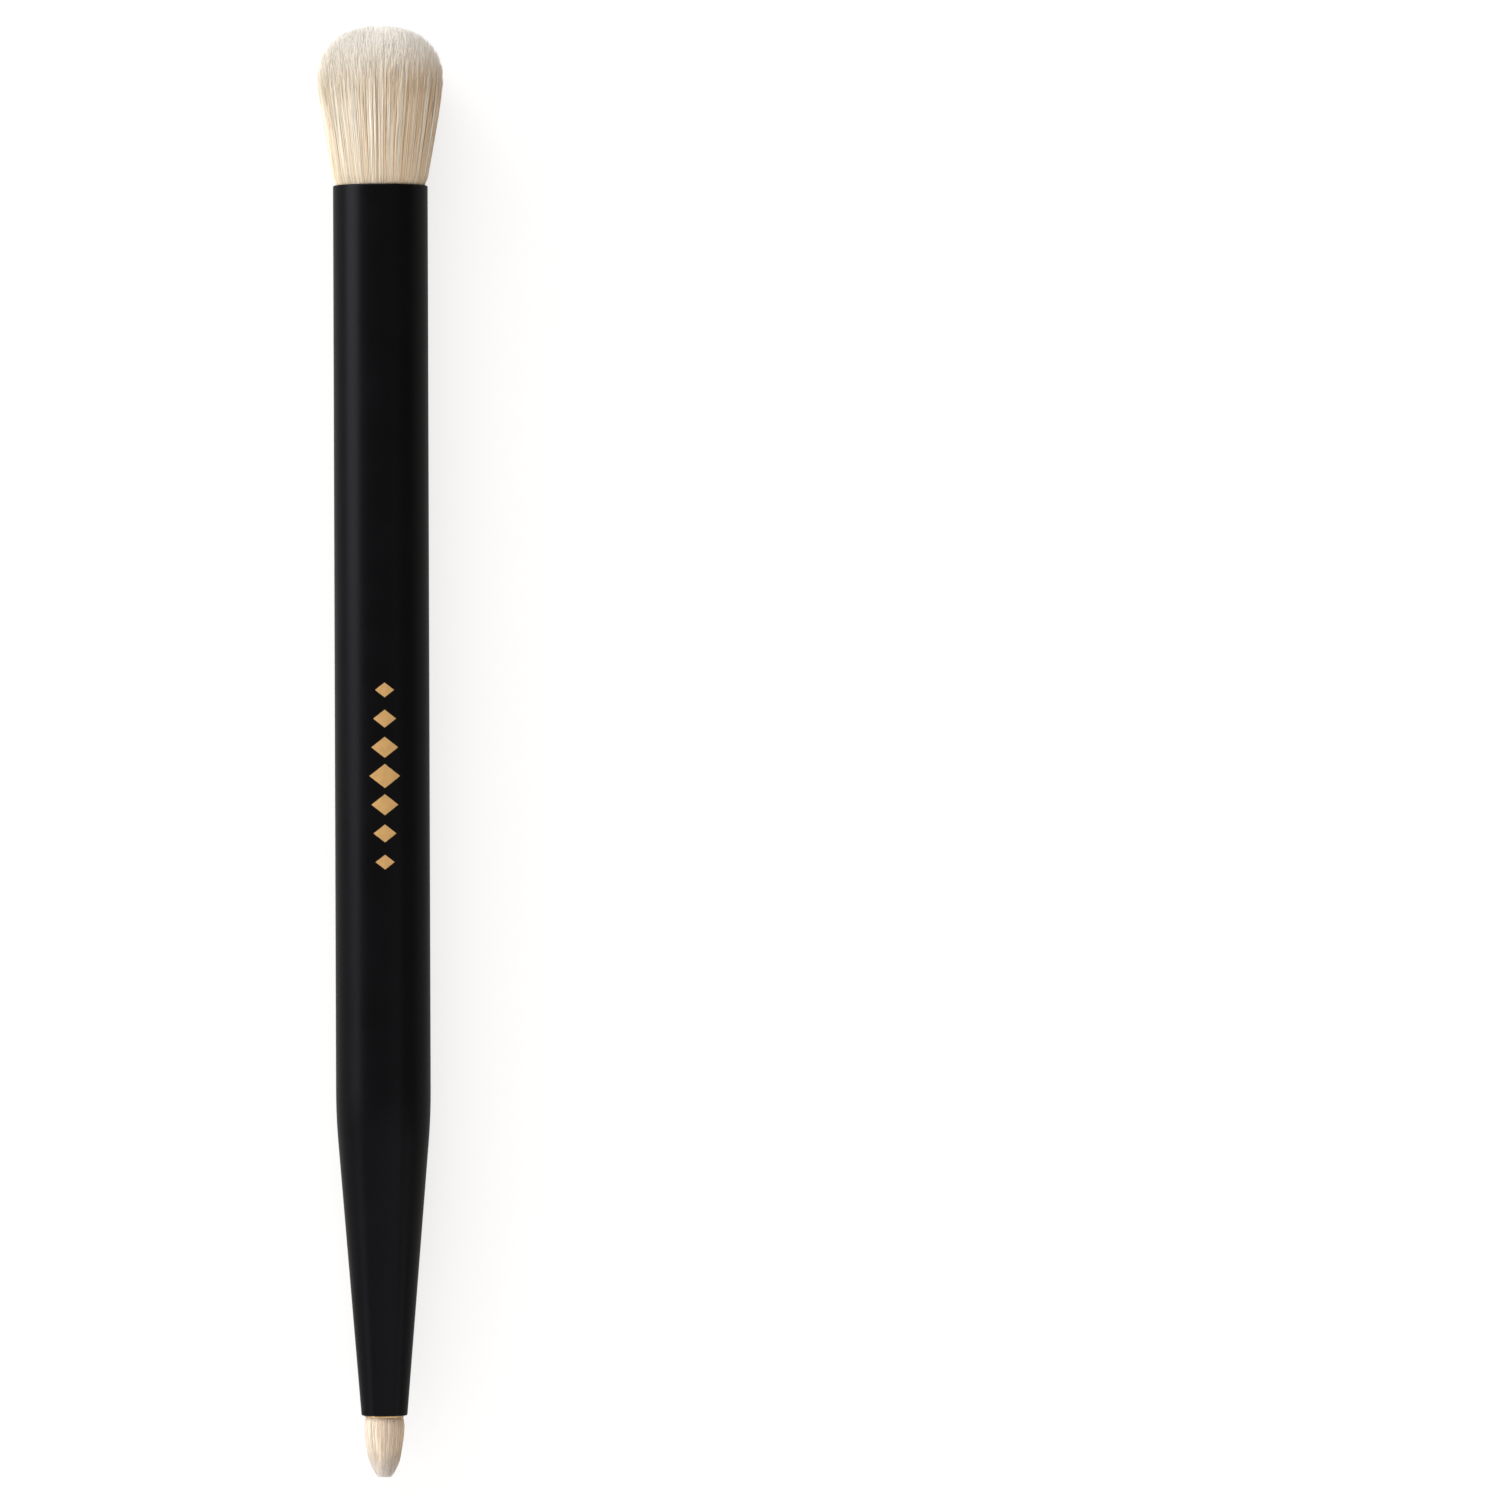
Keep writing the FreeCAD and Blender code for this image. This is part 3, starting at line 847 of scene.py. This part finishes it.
def ornament_tree():
    """A row of lozenges, smaller towards its ends, laid round the barrel as thin foil."""
    tree = GeometryTree("Row of lozenges", {
        "Count": "Int", "Material": "Material",
        **dict.fromkeys(("Barrel Radius", "Axis Height", *ORNAMENT_SIZES), "Float")})
    size = tree.sizes
    pitch = size["Row Length"] / size["Count"]
    start = tree.vector(0.0, (pitch - size["Row Length"]) / 2.0, 0.0)
    row = tree.add("GeometryNodeMeshLine", {
        "Count": size["Count"], "Start Location": start, "Offset": tree.vector(0.0, pitch, 0.0)})
    lozenge = tree.add("GeometryNodeMeshCircle", {"Vertices": 4, "Radius": 1.0}, fill_type="NGON")
    lozenge = tree.add("GeometryNodeSubdivideMesh", {"Mesh": lozenge, "Level": LOZENGE_LEVELS})
    middle = (size["Count"] - 1) / 2.0
    apart = tree.math("ABSOLUTE", tree.add("GeometryNodeInputIndex", {}) - middle) / (middle + 0.5)
    grade = 1.0 - LOZENGE_SHRINK * apart
    lozenges = tree.add("GeometryNodeInstanceOnPoints", {
        "Points": row, "Instance": lozenge,
        "Scale": tree.vector(size["Width"] * 0.5 * grade, pitch * LOZENGE_REACH * grade, 1.0)})
    flat = tree.add("GeometryNodeRealizeInstances", {"Geometry": lozenges})

    # The foil goes from a little inside the lacquer to a little above it
    x, y, _ = tree.split(tree.add("GeometryNodeInputPosition", {}))
    turn = x / size["Barrel Radius"] + size["Turn Aside"]
    bottom = size["Barrel Radius"] - size["Lift"]
    wrapped = tree.add("GeometryNodeSetPosition", {
        "Geometry": flat,
        "Position": tree.vector(
            bottom * tree.math("SINE", turn), y + size["Centre"],
            size["Axis Height"] + bottom * tree.math("COSINE", turn))})
    raised = tree.add("GeometryNodeExtrudeMesh", {
        "Mesh": wrapped, "Offset Scale": size["Lift"] * 2.0, "Individual": False})
    under = tree.add("GeometryNodeFlipFaces", {"Mesh": wrapped})
    solid = tree.add("GeometryNodeMergeByDistance", {
        "Geometry": tree.join(under, raised), "Distance": WELD})
    tree.close(solid)
    return tree


# Operators, one for each piece or group of like pieces

def settle(piece, node):
    """Puts a finished piece on the brush in place of a node of the frame."""
    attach(piece, "root")
    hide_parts(node)


class EYEBRUSH_OT_handle(bpy.types.Operator):
    """Make the lacquered tube, with rounded lips and a smooth bend into its taper"""

    bl_idname = "eyebrush.make_handle"
    bl_label = "Make handle"

    def execute(self, context):
        settings = context.scene.eyebrush_handle
        slope = (BARREL_RADIUS - settings.small_mouth_radius) / settings.taper_length
        slant = math.atan(slope)
        bore = BARREL_RADIUS - settings.wall
        small_bore = settings.small_mouth_radius - settings.wall / math.cos(slant)
        corner = SMALL_MOUTH + settings.taper_length
        bore_corner = corner + settings.wall * math.tan(slant / 2)
        inner_lip = settings.lip_radius / 2
        outline = rounded([
            (bore, LARGE_MOUTH, inner_lip),
            (BARREL_RADIUS, LARGE_MOUTH, settings.lip_radius),
            (BARREL_RADIUS, corner, settings.blend_radius),
            (settings.small_mouth_radius, SMALL_MOUTH, settings.lip_radius),
            (small_bore, SMALL_MOUTH, inner_lip),
            (bore, bore_corner, settings.blend_radius - settings.wall)])
        tube = lathe("handle_shell", outline, TUBE_SIDES)
        paint(tube.data, lacquer_material(settings))
        settle(tube, "handle_tube")
        return {"FINISHED"}


class EYEBRUSH_OT_ornament(bpy.types.Operator):
    """Lay the row of foil lozenges on the barrel"""

    bl_idname = "eyebrush.make_ornament"
    bl_label = "Make ornament"

    def execute(self, context):
        settings = context.scene.eyebrush_ornament
        ornament = ornament_tree().grow("foil_ornament", {
            "Count": settings.count, "Barrel Radius": BARREL_RADIUS, "Axis Height": AXIS_HEIGHT,
            "Material": foil_material(settings), **chosen(settings, ORNAMENT_SIZES)})
        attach(ornament, "root")
        return {"FINISHED"}


class EYEBRUSH_OT_ferrules(bpy.types.Operator):
    """Make the two brass sleeves that hold the tufts"""

    bl_idname = "eyebrush.make_ferrules"
    bl_label = "Make ferrules"

    def execute(self, context):
        settings = context.scene.eyebrush_handle
        lip = settings.ferrule_lip
        brass = brass_material(settings)
        for node in ("large_ferrule", "small_ferrule"):
            low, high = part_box(node)
            outside = (high.x - low.x) / 2
            inside = outside - settings.ferrule_wall
            corners = [
                (inside, high.y, lip), (outside, high.y, lip), (outside, low.y, lip), (inside, low.y, lip)]
            sleeve = lathe(node + "_sleeve", rounded(corners, FERRULE_LIP_STEPS), FERRULE_SIDES)
            paint(sleeve.data, brass)
            settle(sleeve, node)
        return {"FINISHED"}


class EYEBRUSH_OT_bindings(bpy.types.Operator):
    """Wind the thread round the root of each tuft"""

    bl_idname = "eyebrush.make_bindings"
    bl_label = "Make bindings"

    def execute(self, context):
        settings = context.scene.eyebrush_inner
        tree = thread_tree()
        material = thread_material(settings)
        thread_radius = settings.thread / 2
        for node in ("large_binding", "small_binding"):
            low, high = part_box(node)
            coil = tree.grow(node + "_thread", {
                "Turns": settings.turns, "Coil Radius": (high.x - low.x) / 2 - thread_radius,
                "Thread Radius": thread_radius, "Mouth": (0, low.y + thread_radius, AXIS_HEIGHT),
                "Turn": turned(towards=1), "Material": material})
            settle(coil, node)
        return {"FINISHED"}


class EYEBRUSH_OT_tufts(bpy.types.Operator):
    """Grow the bristles of both tufts"""

    bl_idname = "eyebrush.make_tufts"
    bl_label = "Make tufts"

    def execute(self, context):
        tree = tuft_tree()
        tufts = (
            (LARGE_PLACE, context.scene.eyebrush_large_tuft),
            (SMALL_PLACE, context.scene.eyebrush_small_tuft))
        for place, settings in tufts:
            self.grow_bristles(tree, place, settings)
        for place, settings in tufts:
            heart = tuft_heart(place, settings)
            paint(heart.data, heart_material(heart.name, settings))
            settle(heart, place.node)
        return {"FINISHED"}

    def grow_bristles(self, tree, place, settings):
        """One tuft, in layers from its middle to its outside."""
        material = bristle_material(place.node + "_bristle", settings)
        in_layer = settings.strands // settings.layers
        for layer in range(settings.layers):
            bristles = tree.grow(f"{place.node}_layer_{layer + 1}", {
                "Strands": in_layer, "First Strand": layer * in_layer,
                "All Strands": in_layer * settings.layers, "Seed": place.seed,
                "Root Depth": place.depth, "Top": place.top,
                "Mouth": (0, place.mouth, AXIS_HEIGHT), "Turn": turned(place.towards),
                "Material": material, **chosen(settings, TUFT_SIZES)})
            settle(bristles, place.node)


class EYEBRUSH_OT_inner_pieces(bpy.types.Operator):
    """Give the pieces that stay as the frame made them their wood and resin"""

    bl_idname = "eyebrush.finish_inner_pieces"
    bl_label = "Finish inner pieces"

    def execute(self, context):
        settings = context.scene.eyebrush_inner
        paint(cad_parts["handle_core"].data, wood_material(settings))
        resin = resin_material(settings)
        for node in ("large_glue_plug", "small_glue_plug"):
            paint(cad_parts[node].data, resin)
        return {"FINISHED"}


# The stage's fixed places, in metres
FLOOR_RINGS = (0.02, 0.1, 0.5, 1.9)  # the radii of the flat floor's rings
FLOOR_SIDES = 96
COVE_RADIUS = 0.14  # the bend from the floor to its wall
COVE_STEPS = 4
WALL_TOP = 0.4
LARGE_BELLY = LARGE_HIGH.y - 5 * MM  # where the large tuft rests on the floor
BARREL_END = SMALL_MOUTH + 33 * MM  # where the barrel rests on the floor
FLOOR_GLOW = 0.72  # lifts the floor towards white, for the camera
MIRRORED_GLOW = 0.1  # lifts it in reflections
CAMERA_REACH = 10  # how far the camera sees

# Each lamp's place, and its width and height
LAMPS = {
    "side_light": ((-0.85, 0.55, 0.36), (1.3, 0.72)),
    "head_light": ((-0.15, 0.95, 0.75), (1.2, 0.8)),
    "foot_light": ((0.1, -0.6, 0.88), (2.2, 1.0)),
    "left_card": ((-0.75, -0.6, 0.3), (0.7, 0.4)),
    "right_card": ((0.75, -0.55, 0.3), (0.7, 0.4)),
}


class EYEBRUSH_OT_stage(bpy.types.Operator):
    """Set the floor, the lamps and the camera"""

    bl_idname = "eyebrush.make_stage"
    bl_label = "Make stage"

    def execute(self, context):
        scene = context.scene
        settings = scene.eyebrush_stage
        self.lay_floor(settings)
        for name, (place, size) in LAMPS.items():
            self.hang_lamp(name, Vector(place), size, getattr(settings, name))
        self.light_room(scene, settings)
        self.aim_camera(scene, settings)
        scene.view_settings.view_transform = "Standard"
        return {"FINISHED"}

    def lay_floor(self, settings):
        """A round floor with a low wall, tilted to touch the barrel and the large tuft."""
        profile = [(radius, 0.0) for radius in FLOOR_RINGS]
        for step in range(1, COVE_STEPS + 1):
            bend = math.pi / 2 * step / COVE_STEPS
            out = COVE_RADIUS * math.sin(bend)
            up = COVE_RADIUS * (1 - math.cos(bend))
            profile.append((FLOOR_RINGS[-1] + out, up))
        profile.append((FLOOR_RINGS[-1] + COVE_RADIUS, WALL_TOP))
        shape = bmesh.new()
        rings = []
        for radius, height in profile:
            rings.append([
                shape.verts.new((radius * math.cos(turn), radius * math.sin(turn), height))
                for turn in angles_round(FLOOR_SIDES)])
        shape.faces.new(rings[0])
        for ring, outer in zip(rings, rings[1:]):
            for side in range(FLOOR_SIDES):
                beside = (side + 1) % FLOOR_SIDES
                shape.faces.new((ring[side], outer[side], outer[beside], ring[beside]))
        slope = math.atan(TUBE_LOW.z / (LARGE_BELLY - BARREL_END))
        tilt = Matrix.Translation((0, LARGE_BELLY, 0)) @ Matrix.Rotation(-slope, 4, "X")
        shape.transform(tilt @ Matrix.Translation((0, -LARGE_BELLY, 0)))
        floor = finished_object("studio_floor", shape)
        paint(floor.data, self.floor_material(settings))

    def floor_material(self, settings):
        """Matt pale paint, which the camera and reflections see lifted towards white."""
        material, tree, shader = new_material("studio_floor")
        fleck = tree.noise(tree.place(), grain=4 * MM, detail=3)
        dark = opaque(settings.floor, level=0.99)
        light = opaque(settings.floor, level=1.01)
        seen = tree.add("ShaderNodeLightPath", {}, output="Is Camera Ray")
        mirrored = seen.beside("Is Glossy Ray") + seen.beside("Is Transmission Ray")
        tree.feed(shader, {
            "Base Color": tree.mix(fleck, dark, light),
            "Roughness": 0.9,
            "Specular IOR Level": 0.0,
            "Emission Color": (1, 1, 1, 1),
            "Emission Strength": seen * FLOOR_GLOW + mirrored * MIRRORED_GLOW})
        return material

    def hang_lamp(self, name, place, size, level):
        """A rectangular lamp of even brightness that faces the brush."""
        lamp = bpy.data.lights.new(name, "AREA")
        lamp.shape = "RECTANGLE"
        lamp.size, lamp.size_y = size
        lamp.energy = level * math.pi * lamp.size * lamp.size_y
        holder = bpy.data.objects.new(name, lamp)
        holder.location = place
        holder.rotation_euler = (-place).to_track_quat("-Z", "Y").to_euler()
        bpy.context.scene.collection.objects.link(holder)

    def light_room(self, scene, settings):
        """A dim even room round the lamps."""
        world = bpy.data.worlds.new("studio_room")
        world.use_nodes = True
        background = world.node_tree.nodes["Background"]
        background.inputs["Color"].default_value = opaque(settings.room)
        background.inputs["Strength"].default_value = settings.room_level
        scene.world = world

    def aim_camera(self, scene, settings):
        """Straight down on the brush, from far enough away to flatten it."""
        camera = bpy.data.cameras.new("camera")
        camera.lens = camera.sensor_width * settings.distance / settings.view_width
        camera.clip_end = CAMERA_REACH
        holder = bpy.data.objects.new("camera", camera)
        holder.location = (settings.view_right, settings.view_up, AXIS_HEIGHT + settings.distance)
        holder.rotation_euler = (0, 0, settings.roll)
        scene.collection.objects.link(holder)
        scene.camera = holder


OPERATORS = (
    EYEBRUSH_OT_handle, EYEBRUSH_OT_ornament, EYEBRUSH_OT_ferrules, EYEBRUSH_OT_bindings,
    EYEBRUSH_OT_tufts, EYEBRUSH_OT_inner_pieces, EYEBRUSH_OT_stage)

SETTINGS = {
    "eyebrush_handle": HandleSettings,
    "eyebrush_ornament": OrnamentSettings,
    "eyebrush_large_tuft": LargeTuftSettings,
    "eyebrush_small_tuft": SmallTuftSettings,
    "eyebrush_inner": InnerSettings,
    "eyebrush_stage": StageSettings,
}


class EYEBRUSH_PT_panel(bpy.types.Panel):
    """The brush's pieces and their settings"""

    bl_idname = "EYEBRUSH_PT_panel"
    bl_label = "Eyeshadow brush"
    bl_space_type = "VIEW_3D"
    bl_region_type = "UI"
    bl_category = "Brush"

    def draw(self, context):
        for operator in OPERATORS:
            self.layout.operator(operator.bl_idname)
        for name in SETTINGS:
            box = self.layout.box()
            settings = getattr(context.scene, name)
            for item in settings.bl_rna.properties:
                if not item.is_readonly and item.identifier != "name":
                    box.prop(settings, item.identifier)


def register():
    """Makes the settings, the operators and the panel known to Blender."""
    for name, settings_class in SETTINGS.items():
        bpy.utils.register_class(settings_class)
        setattr(bpy.types.Scene, name, PointerProperty(type=settings_class))
    for operator in OPERATORS:
        bpy.utils.register_class(operator)
    bpy.utils.register_class(EYEBRUSH_PT_panel)


def unregister():
    """Takes them away again."""
    bpy.utils.unregister_class(EYEBRUSH_PT_panel)
    for operator in reversed(OPERATORS):
        bpy.utils.unregister_class(operator)
    for name, settings_class in SETTINGS.items():
        delattr(bpy.types.Scene, name)
        bpy.utils.unregister_class(settings_class)


def main():
    """Builds the whole brush on its stage."""
    register()
    bpy.ops.eyebrush.make_handle()
    bpy.ops.eyebrush.make_ornament()
    bpy.ops.eyebrush.make_ferrules()
    bpy.ops.eyebrush.make_bindings()
    bpy.ops.eyebrush.make_tufts()
    bpy.ops.eyebrush.finish_inner_pieces()
    bpy.ops.eyebrush.make_stage()


if __name__ == "__main__":
    main()
